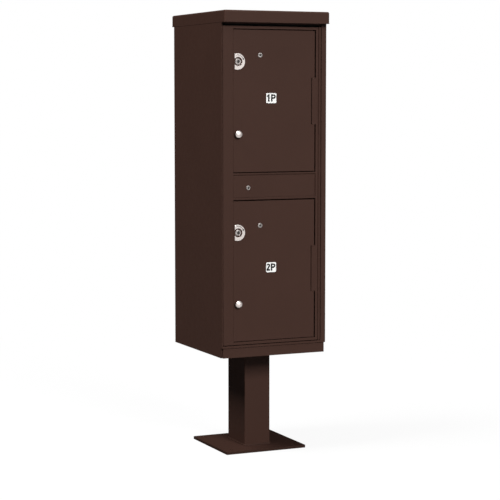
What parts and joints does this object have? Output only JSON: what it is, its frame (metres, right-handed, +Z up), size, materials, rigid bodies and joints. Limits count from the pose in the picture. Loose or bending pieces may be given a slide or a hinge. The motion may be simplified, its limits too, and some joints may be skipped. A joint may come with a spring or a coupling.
{
  "type": "cluster mailbox unit",
  "caption": "Outdoor parcel locker of the cluster mailbox kind on a short pedestal, with stacked parcel doors in one large service door, locks, knobs and number plates.",
  "frame": {"origin": "centre of the anchor hole pattern, at the underside of the pedestal's base plate, on the ground", "axes": "+X to the right seen from the front, +Y to the back, +Z up"},
  "size_m": [0.42, 0.503, 1.63],
  "materials": {
    "bronze_coat": "dark bronze powder coat on aluminium, satin, fine orange peel",
    "satin_metal": "satin die-cast and turned lock metal",
    "polished_metal": "polished",
    "zinc_steel": "zinc plated, dull",
    "seal_rubber": "matt black foam rubber strip",
    "number_white": "white plastic plate, satin"
  },
  "bodies": {
    "root": {"base_plate": "bronze_coat", "post": "bronze_coat", "head_plate": "bronze_coat", "pedestal_fasteners": "zinc_steel", "bottom_pan": "bronze_coat", "floor_panel": "bronze_coat", "left_side_panel": "bronze_coat", "right_side_panel": "bronze_coat", "back_panel": "bronze_coat", "rear_corner_angles": "bronze_coat", "back_rivets": "bronze_coat", "roof_panel": "bronze_coat", "cap": "bronze_coat", "cap_screws": "zinc_steel", "shelf": "bronze_coat", "left_jamb": "bronze_coat", "hinge_jamb": "bronze_coat", "header": "bronze_coat", "door_seal": "seal_rubber", "cabinet_hinge_leaf": "bronze_coat", "master_hinge_pin": "bronze_coat"},
    "master_door": {"left_stile": "bronze_coat", "left_stile_flanges": "bronze_coat", "right_stile": "bronze_coat", "top_rail": "bronze_coat", "mid_rail": "bronze_coat", "bottom_rail": "bronze_coat", "door_hinge_leaf": "bronze_coat", "band_panel": "bronze_coat", "master_lock_case": "zinc_steel", "master_lock_housing": "satin_metal", "parcel_hinge_pins": "zinc_steel"},
    "master_lock": {"master_lock_plug": "satin_metal"},
    "master_bolt": {"master_bolt": "zinc_steel"},
    "upper_door": {"upper_door_panel": "bronze_coat", "upper_door_stiffener": "bronze_coat", "upper_escutcheon": "satin_metal", "upper_customer_lock": "satin_metal", "upper_lock_nuts": "zinc_steel", "upper_control_lock": "satin_metal", "upper_latch_guides": "zinc_steel", "upper_knob": "polished_metal", "upper_number_plate": "number_white"},
    "upper_customer_turn": {"upper_customer_plug": "satin_metal", "upper_customer_cam": "zinc_steel"},
    "upper_control_turn": {"upper_control_plug": "satin_metal"},
    "upper_latch": {"upper_latch_bar": "zinc_steel"},
    "lower_door": {"lower_door_panel": "bronze_coat", "lower_door_stiffener": "bronze_coat", "lower_escutcheon": "satin_metal", "lower_customer_lock": "satin_metal", "lower_lock_nuts": "zinc_steel", "lower_control_lock": "satin_metal", "lower_latch_guides": "zinc_steel", "lower_knob": "polished_metal", "lower_number_plate": "number_white"},
    "lower_customer_turn": {"lower_customer_plug": "satin_metal", "lower_customer_cam": "zinc_steel"},
    "lower_control_turn": {"lower_control_plug": "satin_metal"},
    "lower_latch": {"lower_latch_bar": "zinc_steel"}
  },
  "joints": [
    {"name": "master_door_hinge", "type": "hinge", "parent": "root", "child": "master_door", "pos_m": [0.1833, -0.2235, 0.9975], "axis": [0, 0, 1], "range_deg": [0, 105]},
    {"name": "master_lock_turn", "type": "hinge", "parent": "master_door", "child": "master_lock", "pos_m": [-0.105, -0.2285, 0.9925], "axis": [0, 1, 0], "range_deg": [0, 90]},
    {"name": "master_bolt_slide", "type": "slide", "parent": "master_door", "child": "master_bolt", "axis": [-1, 0, 0], "range_m": [0, 0.013]},
    {"name": "upper_door_hinge", "type": "hinge", "parent": "master_door", "child": "upper_door", "pos_m": [0.1596, -0.225, 1.3055], "axis": [0, 0, 1], "range_deg": [0, 105]},
    {"name": "upper_customer_lock_turn", "type": "hinge", "parent": "upper_door", "child": "upper_customer_turn", "pos_m": [-0.146, -0.2285, 1.4475], "axis": [0, 1, 0], "range_deg": [0, 90]},
    {"name": "upper_control_lock_turn", "type": "hinge", "parent": "upper_door", "child": "upper_control_turn", "pos_m": [-0.058, -0.2285, 1.4715], "axis": [0, 1, 0], "range_deg": [0, 90]},
    {"name": "upper_latch_slide", "type": "slide", "parent": "upper_door", "child": "upper_latch", "axis": [-1, 0, 0], "range_m": [0, 0.013]},
    {"name": "lower_door_hinge", "type": "hinge", "parent": "master_door", "child": "lower_door", "pos_m": [0.1596, -0.225, 0.6885], "axis": [0, 0, 1], "range_deg": [0, 105]},
    {"name": "lower_customer_lock_turn", "type": "hinge", "parent": "lower_door", "child": "lower_customer_turn", "pos_m": [-0.146, -0.2285, 0.8305], "axis": [0, 1, 0], "range_deg": [0, 90]},
    {"name": "lower_control_lock_turn", "type": "hinge", "parent": "lower_door", "child": "lower_control_turn", "pos_m": [-0.058, -0.2285, 0.8545], "axis": [0, 1, 0], "range_deg": [0, 90]},
    {"name": "lower_latch_slide", "type": "slide", "parent": "lower_door", "child": "lower_latch", "axis": [-1, 0, 0], "range_m": [0, 0.013]}
  ],
  "couplings": [
    {"joint": "master_lock_turn", "follows": "master_bolt_slide", "rad_per_m": 120.8},
    {"joint": "upper_control_lock_turn", "follows": "upper_latch_slide", "rad_per_m": 120.8},
    {"joint": "lower_control_lock_turn", "follows": "lower_latch_slide", "rad_per_m": 120.8}
  ]
}
